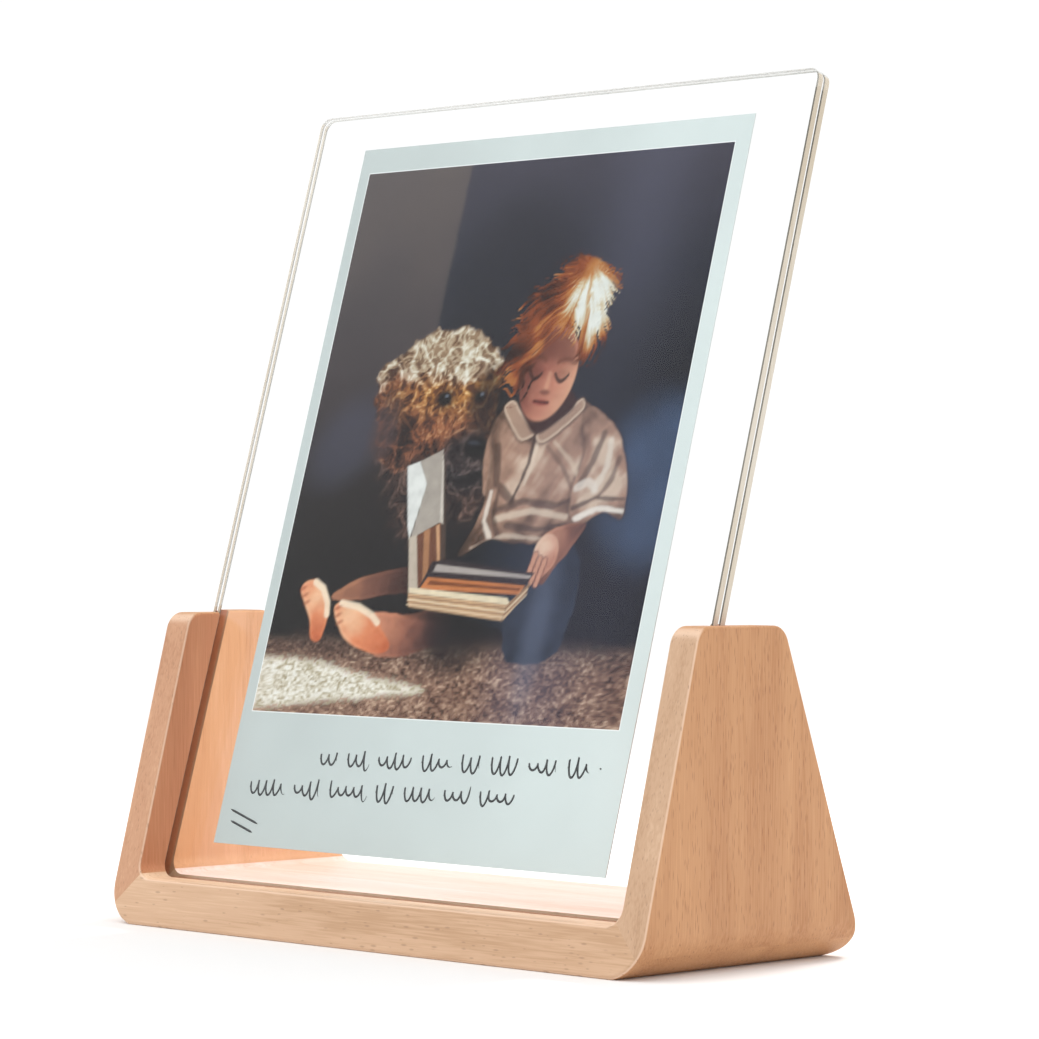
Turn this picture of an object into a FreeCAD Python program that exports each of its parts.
import FreeCAD, Part
import math
import os
import Sketcher

# A photo display stand: two clear acrylic sheets with a print between them lean back in a slanted
# groove that runs round the inside of a U of three mitred beech boards.
#
# Frame: +X to the viewer's right, +Y to the back, +Z up. The origin is the centre of the underside.

DRIVING_DIMENSIONS = [
    ("stand_width", 172.0, "overall width across the two cheeks"),
    ("stand_height", 75.0, "top of the cheeks above the table"),
    ("foot_depth", 78.0, "front to back at the table"),
    ("front_lean", 14.5, "degrees, front face back from upright"),
    ("rear_lean", 21.5, "degrees, rear face forward from upright"),
    ("cheek_thickness", 8.0, "board at each side"),
    ("plank_thickness", 11.0, "board along the bottom"),
    ("outer_corner_radius", 10.0, "lower corners of the U, outside"),
    ("corner_floor_angle", 12.0, "degrees, where the outside corner's arc meets the underside"),
    ("inner_corner_radius", 4.0, "lower corners of the U, inside"),
    ("cheek_corner_radius", 5.0, "corners of a cheek, seen from the side"),
    ("arris_radius", 0.8, "rounding of every sharp edge"),
    ("groove_width", 4.6, "across the groove"),
    ("groove_lean", 16.0, "degrees, groove back from upright"),
    ("groove_setback", 8.0, "groove behind the front face, at the plank's top"),
    ("cheek_groove_depth", 3.2, "groove into each cheek"),
    ("plank_groove_depth", 4.0, "groove into the plank"),
    ("sheet_width", 162.0, "acrylic sheet"),
    ("sheet_height", 201.0, "acrylic sheet"),
    ("sheet_thickness", 2.0, "acrylic sheet"),
    ("sheet_top_radius", 3.0, "upper corners of a sheet"),
    ("sheet_foot_radius", 1.0, "lower corners of a sheet"),
    ("sheet_edge_chamfer", 0.25, "flame-polished edge of a sheet"),
    ("print_width", 127.0, "photographic print"),
    ("print_height", 178.0, "photographic print"),
    ("print_thickness", 0.25, "photographic print"),
    ("print_rise", 13.5, "print above the foot of the sheets"),
    ("sliding_gap", 0.05, "between the print and each sheet"),
    ("seat_gap", 0.1, "between the sheets' feet and the groove's floor"),
    ("dowel_diameter", 3.0, "dowel across a mitre"),
    ("dowel_length", 9.0, "dowel across a mitre"),
    ("dowel_depth", 2.6, "dowel centre out from the inner corner"),
    ("front_dowel_place", -10.0, "front dowel, along the depth"),
    ("rear_dowel_place", 16.0, "rear dowel, along the depth"),
    ("glue_gap", 0.05, "round a dowel in its hole"),
    ("overcut", 5.0, "how far a cut runs past the wood"),
]

# Two faces whose normals' dot product is under this meet in a sharp edge.
SHARP_EDGE_DOT = 0.9
# Degrees that a dowel's axis is turned from upright, to lie square across a mitre.
DOWEL_TILT = 135.0
# Signs of X on the two sides.
LEFT = -1
RIGHT = 1

# Measures that follow from the driving dimensions, as expressions for the sketches.
HALF_WIDTH = "(dims.stand_width / 2)"
HALF_DEPTH = "(dims.foot_depth / 2)"
HALF_BAY = "(dims.stand_width / 2 - dims.cheek_thickness)"
TOP = "dims.stand_height"
ABOVE = "(dims.stand_height + dims.overcut)"
PLANK_TOP = "dims.plank_thickness"
LEAN_SINE = "sin(dims.groove_lean)"
LEAN_COSINE = "cos(dims.groove_lean)"
GROOVE_FLOOR_Y = (
    f"(dims.plank_thickness * tan(dims.front_lean) + dims.groove_setback - {HALF_DEPTH}"
    f" - dims.plank_groove_depth * {LEAN_SINE})"
)
GROOVE_FLOOR_Z = f"(dims.plank_thickness - dims.plank_groove_depth * {LEAN_COSINE})"
GROOVE_PLAY = (
    "((dims.groove_width - 2 * dims.sheet_thickness - dims.print_thickness - 2 * dims.sliding_gap) / 2)"
)

doc = FreeCAD.newDocument("photo_stand")
dims = doc.addObject("Spreadsheet::Sheet", "dims")
for row, (alias, value, note) in enumerate(DRIVING_DIMENSIONS, start=1):
    dims.set(f"A{row}", alias)
    dims.set(f"B{row}", str(value))
    dims.set(f"C{row}", note)
    dims.setAlias(f"B{row}", alias)
doc.recompute()


def plane(body, role):
    """One of the body's own origin planes."""
    return next(item for item in body.Origin.OriginFeatures if item.Role == role)


def sketch_on(body, role, name):
    """An empty sketch on one of the body's origin planes."""
    sketch = body.newObject("Sketcher::SketchObject", name)
    sketch.AttachmentSupport = [(plane(body, role), "")]
    sketch.MapMode = "FlatFace"
    return sketch


def measure(sketch, expression):
    """What an expression comes to now."""
    return float(sketch.evalExpression(expression))


def point_at(sketch, place):
    """The point that two expressions come to now."""
    return FreeCAD.Vector(measure(sketch, place[0]), measure(sketch, place[1]), 0)


def pin_point(sketch, edge, end, place):
    """Ties one end of an edge to the sketch's origin by two measures from the sheet."""
    for kind, expression in zip(("DistanceX", "DistanceY"), place):
        value = measure(sketch, expression)
        index = sketch.addConstraint(Sketcher.Constraint(kind, -1, 1, edge, end, value))
        sketch.setExpression(f"Constraints[{index}]", expression)


def add_lines(sketch, places):
    """Straight edges from each place to the next."""
    for here, there in zip(places[:-1], places[1:]):
        sketch.addGeometry(Part.LineSegment(point_at(sketch, here), point_at(sketch, there)), False)


def add_outline(sketch, corners):
    """A closed outline of straight edges through the corners, each tied to the sheet."""
    first = sketch.GeometryCount
    count = len(corners)
    add_lines(sketch, corners + corners[:1])
    for step in range(count):
        joined = first + (step + 1) % count
        sketch.addConstraint(Sketcher.Constraint("Coincident", first + step, 2, joined, 1))
    for step, place in enumerate(corners):
        pin_point(sketch, first + step, 1, place)


def add_rounded_waste(sketch, side):
    """The waste outside one rounded lower corner of the U: an arc closed by lines beyond the wood."""
    radius = "dims.outer_corner_radius"
    floor_x = f"{side} * ({HALF_WIDTH} - {radius} * (1 - sin(dims.corner_floor_angle)))"
    outside_x = f"{side} * ({HALF_WIDTH} + dims.overcut)"
    side_z = f"{radius} * cos(dims.corner_floor_angle)"
    places = [
        (floor_x, "0"),
        (floor_x, "-dims.overcut"),
        (outside_x, "-dims.overcut"),
        (outside_x, side_z),
        (f"{side} * {HALF_WIDTH}", side_z),
    ]
    size = dims.outer_corner_radius
    centre = FreeCAD.Vector(side * (dims.stand_width / 2 - size), measure(sketch, side_z), 0)
    circle = Part.Circle(centre, FreeCAD.Vector(0, 0, 1), size)
    floor_turn = math.radians(dims.corner_floor_angle)
    if side == RIGHT:
        turns = (1.5 * math.pi + floor_turn, 2 * math.pi)
        floor_end, side_end = 1, 2
    else:
        turns = (math.pi, 1.5 * math.pi - floor_turn)
        floor_end, side_end = 2, 1
    arc = sketch.addGeometry(Part.ArcOfCircle(circle, *turns), False)
    first = sketch.GeometryCount
    add_lines(sketch, places)
    last = sketch.GeometryCount - 1
    for line in range(first, last):
        sketch.addConstraint(Sketcher.Constraint("Coincident", line, 2, line + 1, 1))
    sketch.addConstraint(Sketcher.Constraint("Coincident", arc, floor_end, first, 1))
    sketch.addConstraint(Sketcher.Constraint("Coincident", arc, side_end, last, 2))
    for step, place in enumerate(places[:-1]):
        pin_point(sketch, first + step, 1, place)
    pin_point(sketch, last, 2, places[-1])
    index = sketch.addConstraint(Sketcher.Constraint("Radius", arc, size))
    sketch.setExpression(f"Constraints[{index}]", radius)


def pad(body, sketch, name, thickness, symmetric=True):
    """Solid from a sketch, spread evenly to both sides or all towards the back."""
    feature = body.newObject("PartDesign::Pad", name)
    feature.Profile = sketch
    feature.setExpression("Length", thickness)
    if symmetric:
        feature.SideType = "Symmetric"
    else:
        feature.Reversed = True
    doc.recompute()
    return feature


def pocket(body, sketch, name, length):
    """Cut through a sketch, spread evenly to both sides, that has to take wood away."""
    before = body.Shape.Volume
    feature = body.newObject("PartDesign::Pocket", name)
    feature.Profile = sketch
    feature.SideType = "Symmetric"
    feature.setExpression("Length", length)
    doc.recompute()
    removed = before - body.Shape.Volume
    if removed < 1.0:
        raise RuntimeError(f"{name} removes nothing")
    print(f"  {name}: {removed:.0f} mm3 removed")
    return feature


def fillet(body, base, name, edges, radius):
    """Rounds the named edges of a feature."""
    feature = body.newObject("PartDesign::Fillet", name)
    feature.Base = (base, edges)
    feature.setExpression("Radius", radius)
    doc.recompute()
    return feature


def is_near(value, target):
    """Whether two lengths are the same to a hundredth of a millimetre."""
    return abs(value - target) < 0.01


def is_along(part):
    """Whether a direction runs along the axis that this part of it belongs to."""
    return abs(part) > 0.99


def edges_where(shape, wanted):
    """Names of the edges whose middle point and direction pass a test."""
    names = []
    for number, edge in enumerate(shape.Edges, start=1):
        middle = edge.valueAt((edge.FirstParameter + edge.LastParameter) / 2)
        direction = (edge.Vertexes[-1].Point - edge.Vertexes[0].Point).normalize()
        if wanted(middle, direction):
            names.append(f"Edge{number}")
    return names


def sharp_edges(shape):
    """Names of the edges where two faces meet at an angle, rather than smoothly."""
    names = []
    for number, edge in enumerate(shape.Edges, start=1):
        middle = edge.valueAt((edge.FirstParameter + edge.LastParameter) / 2)
        normals = []
        for face in shape.ancestorsOfType(edge, Part.Face):
            across, along = face.Surface.parameter(middle)
            normals.append(face.normalAt(across, along))
        if len(normals) == 2 and normals[0].dot(normals[1]) < SHARP_EDGE_DOT:
            names.append(f"Edge{number}")
    return names


def shaped_u(name):
    """The whole U as the maker shapes it after gluing up: side profile, bay, corners, arrises, groove."""
    body = doc.addObject("PartDesign::Body", name)
    body.Label = name
    side = sketch_on(body, "YZ_Plane", f"{name}_side_profile")
    add_outline(side, [
        (f"-{HALF_DEPTH}", "0"),
        (HALF_DEPTH, "0"),
        (f"{HALF_DEPTH} - {TOP} * tan(dims.rear_lean)", TOP),
        (f"{TOP} * tan(dims.front_lean) - {HALF_DEPTH}", TOP),
    ])
    block = pad(body, side, f"{name}_block", "dims.stand_width")
    front = -dims.foot_depth / 2
    rounded = edges_where(
        block.Shape,
        lambda middle, along: is_along(along.x) and not is_near(middle.y, front),
    )
    shaped = fillet(body, block, f"{name}_cheek_corners", rounded, "dims.cheek_corner_radius")

    bay = sketch_on(body, "XZ_Plane", f"{name}_bay_profile")
    add_outline(bay, [
        (f"-{HALF_BAY}", PLANK_TOP),
        (HALF_BAY, PLANK_TOP),
        (HALF_BAY, ABOVE),
        (f"-{HALF_BAY}", ABOVE),
    ])
    opened = pocket(body, bay, f"{name}_bay", "2 * dims.foot_depth")
    plank_top = dims.plank_thickness
    half_bay = dims.stand_width / 2 - dims.cheek_thickness
    inner = edges_where(
        opened.Shape,
        lambda middle, along: is_near(middle.z, plank_top) and is_near(abs(middle.x), half_bay),
    )
    fillet(body, opened, f"{name}_inner_corners", inner, "dims.inner_corner_radius")

    waste = sketch_on(body, "XZ_Plane", f"{name}_corner_waste")
    add_rounded_waste(waste, LEFT)
    add_rounded_waste(waste, RIGHT)
    rounded_u = pocket(body, waste, f"{name}_outer_corners", "2 * dims.foot_depth")
    fillet(body, rounded_u, f"{name}_arrises", sharp_edges(rounded_u.Shape), "dims.arris_radius")

    groove = sketch_on(body, "YZ_Plane", f"{name}_groove_profile")
    rear_y = f"{GROOVE_FLOOR_Y} + dims.groove_width * {LEAN_COSINE}"
    rear_z = f"{GROOVE_FLOOR_Z} - dims.groove_width * {LEAN_SINE}"
    rise_y = f"{ABOVE} * {LEAN_SINE}"
    rise_z = f"{ABOVE} * {LEAN_COSINE}"
    add_outline(groove, [
        (GROOVE_FLOOR_Y, GROOVE_FLOOR_Z),
        (rear_y, rear_z),
        (f"{rear_y} + {rise_y}", f"{rear_z} + {rise_z}"),
        (f"{GROOVE_FLOOR_Y} + {rise_y}", f"{GROOVE_FLOOR_Z} + {rise_z}"),
    ])
    pocket(body, groove, f"{name}_groove", f"2 * ({HALF_BAY} + dims.cheek_groove_depth)")
    return body


def mitre_start(side):
    """Two points of a mitre at 45 degrees through the inner corner: inside the bay, and outside the wood."""
    inside = (f"{side} * ({HALF_BAY} - dims.cheek_thickness)", f"{PLANK_TOP} + dims.cheek_thickness")
    reach = "(dims.cheek_thickness + 2)"
    outside = (f"{side} * ({HALF_BAY} + {reach})", f"{PLANK_TOP} - {reach}")
    return inside, outside


def cut_off_cheeks(body):
    """Takes both cheeks off a U along the mitres, so the plank is left."""
    sketch = sketch_on(body, "XZ_Plane", f"{body.Label}_mitre_profile")
    for side in (LEFT, RIGHT):
        inside, outside = mitre_start(side)
        add_outline(sketch, [inside, outside, (outside[0], ABOVE), (inside[0], ABOVE)])
    pocket(body, sketch, f"{body.Label}_mitres", "2 * dims.foot_depth")


def cut_off_rest(body, side):
    """Takes all but one cheek off a U along that cheek's mitre."""
    inside, outside = mitre_start(side)
    beyond_x = f"{-side} * ({HALF_WIDTH} + dims.overcut)"
    sketch = sketch_on(body, "XZ_Plane", f"{body.Label}_mitre_profile")
    add_outline(sketch, [
        outside,
        inside,
        (inside[0], ABOVE),
        (beyond_x, ABOVE),
        (beyond_x, "-dims.overcut"),
        (outside[0], "-dims.overcut"),
    ])
    pocket(body, sketch, f"{body.Label}_mitre", "2 * dims.foot_depth")


def lay_across_mitre(cylinder, side, place, radius, length):
    """Sizes a cylinder and lays it square across a mitre, half in the cheek and half in the plank."""
    out = f"(dims.dowel_depth + ({length}) / 2 * sin(45))"
    down = f"(dims.dowel_depth - ({length}) / 2 * sin(45))"
    cylinder.setExpression("Radius", radius)
    cylinder.setExpression("Height", length)
    cylinder.Placement = FreeCAD.Placement(
        FreeCAD.Vector(0, 0, 0), FreeCAD.Rotation(FreeCAD.Vector(0, 1, 0), -side * DOWEL_TILT)
    )
    cylinder.setExpression("Placement.Base.x", f"{side} * ({HALF_BAY} + {out})")
    cylinder.setExpression("Placement.Base.y", place)
    cylinder.setExpression("Placement.Base.z", f"{PLANK_TOP} - {down}")


def bore_for_dowels(body, side):
    """Blind holes across one mitre, a glue gap larger than the dowels."""
    for word in ("front", "rear"):
        before = body.Shape.Volume
        hole = body.newObject("PartDesign::SubtractiveCylinder", f"{body.Label}_{word}_hole_{side + 1}")
        lay_across_mitre(
            hole,
            side,
            f"dims.{word}_dowel_place",
            "dims.dowel_diameter / 2 + dims.glue_gap",
            "dims.dowel_length + 2 * dims.glue_gap",
        )
        doc.recompute()
        if before - body.Shape.Volume < 1.0:
            raise RuntimeError(f"{hole.Label} removes nothing")


def dowels(name, side):
    """The two dowels of one mitre, as one group of separate solids."""
    pins = []
    for word in ("front", "rear"):
        pin = doc.addObject("Part::Cylinder", f"{name}_{word}_pin")
        place = f"dims.{word}_dowel_place"
        lay_across_mitre(pin, side, place, "dims.dowel_diameter / 2", "dims.dowel_length")
        pins.append(pin)
    group = doc.addObject("Part::Compound", name)
    group.Label = name
    group.Links = pins
    doc.recompute()
    return group


def lean_in_groove(body, rise, back):
    """Leans a flat piece back with the groove: rise up from its floor, back from its front wall."""
    body.Placement = FreeCAD.Placement(
        FreeCAD.Vector(0, 0, 0), FreeCAD.Rotation(FreeCAD.Vector(1, 0, 0), dims.groove_lean)
    )
    body.setExpression("Placement.Rotation.Angle", "-dims.groove_lean")
    body.setExpression(
        "Placement.Base.y", f"{GROOVE_FLOOR_Y} + ({rise}) * {LEAN_SINE} + ({back}) * {LEAN_COSINE}"
    )
    body.setExpression(
        "Placement.Base.z", f"{GROOVE_FLOOR_Z} + ({rise}) * {LEAN_COSINE} - ({back}) * {LEAN_SINE}"
    )
    doc.recompute()


def flat_piece(name, width, height, thickness):
    """An upright rectangle of even thickness, its front face on the body's XZ plane and its foot at zero."""
    body = doc.addObject("PartDesign::Body", name)
    body.Label = name
    outline = sketch_on(body, "XZ_Plane", f"{name}_outline")
    add_outline(outline, [
        (f"-{width} / 2", "0"),
        (f"{width} / 2", "0"),
        (f"{width} / 2", height),
        (f"-{width} / 2", height),
    ])
    return body, pad(body, outline, f"{name}_blank", thickness, symmetric=False)


def acrylic_sheet(name, back):
    """A clear sheet with rounded corners and eased edges, leaning in the groove."""
    body, blank = flat_piece(name, "dims.sheet_width", "dims.sheet_height", "dims.sheet_thickness")
    half_height = dims.sheet_height / 2
    upper = edges_where(blank.Shape, lambda middle, along: is_along(along.y) and middle.z > half_height)
    topped = fillet(body, blank, f"{name}_top_corners", upper, "dims.sheet_top_radius")
    lower = edges_where(topped.Shape, lambda middle, along: is_along(along.y) and is_near(middle.z, 0))
    footed = fillet(body, topped, f"{name}_foot_corners", lower, "dims.sheet_foot_radius")
    eased = body.newObject("PartDesign::Chamfer", f"{name}_eased_edges")
    eased.Base = (footed, sharp_edges(footed.Shape))
    eased.setExpression("Size", "dims.sheet_edge_chamfer")
    lean_in_groove(body, "dims.seat_gap", back)
    return body


def photo_print(name, back):
    """The print, upright between the sheets and a little above their feet."""
    body, blank = flat_piece(name, "dims.print_width", "dims.print_height", "dims.print_thickness")
    lean_in_groove(body, "dims.seat_gap + dims.print_rise", back)
    return body


plank = shaped_u("base_plank")
cut_off_cheeks(plank)
bore_for_dowels(plank, LEFT)
bore_for_dowels(plank, RIGHT)

left_cheek = shaped_u("left_cheek")
cut_off_rest(left_cheek, LEFT)
bore_for_dowels(left_cheek, LEFT)

right_cheek = shaped_u("right_cheek")
cut_off_rest(right_cheek, RIGHT)
bore_for_dowels(right_cheek, RIGHT)

behind_front_sheet = f"{GROOVE_PLAY} + dims.sheet_thickness + dims.sliding_gap"
behind_print = f"{behind_front_sheet} + dims.print_thickness + dims.sliding_gap"

nodes = [
    plank,
    left_cheek,
    right_cheek,
    dowels("left_dowels", LEFT),
    dowels("right_dowels", RIGHT),
    acrylic_sheet("front_sheet", GROOVE_PLAY),
    acrylic_sheet("rear_sheet", behind_print),
    photo_print("photo_print", behind_front_sheet),
]

doc.recompute()
for item in doc.Objects:
    if "Invalid" in item.State or "Error" in item.State:
        raise RuntimeError(f"{item.Label} failed: {item.State}")
for node in nodes:
    if node.Shape.isNull() or not node.Shape.isValid():
        raise RuntimeError(f"{node.Label} has no valid shape")

os.makedirs("parts", exist_ok=True)
for node in nodes:
    node.Shape.exportStep(f"parts/{node.Label}.step")
    box = node.Shape.optimalBoundingBox(False, False)
    print(
        f"{node.Label}: {len(node.Shape.Solids)} solid, {node.Shape.Volume / 1000:.2f} cm3,"
        f" x {box.XMin:.2f}..{box.XMax:.2f} y {box.YMin:.2f}..{box.YMax:.2f} z {box.ZMin:.2f}..{box.ZMax:.2f}"
    )
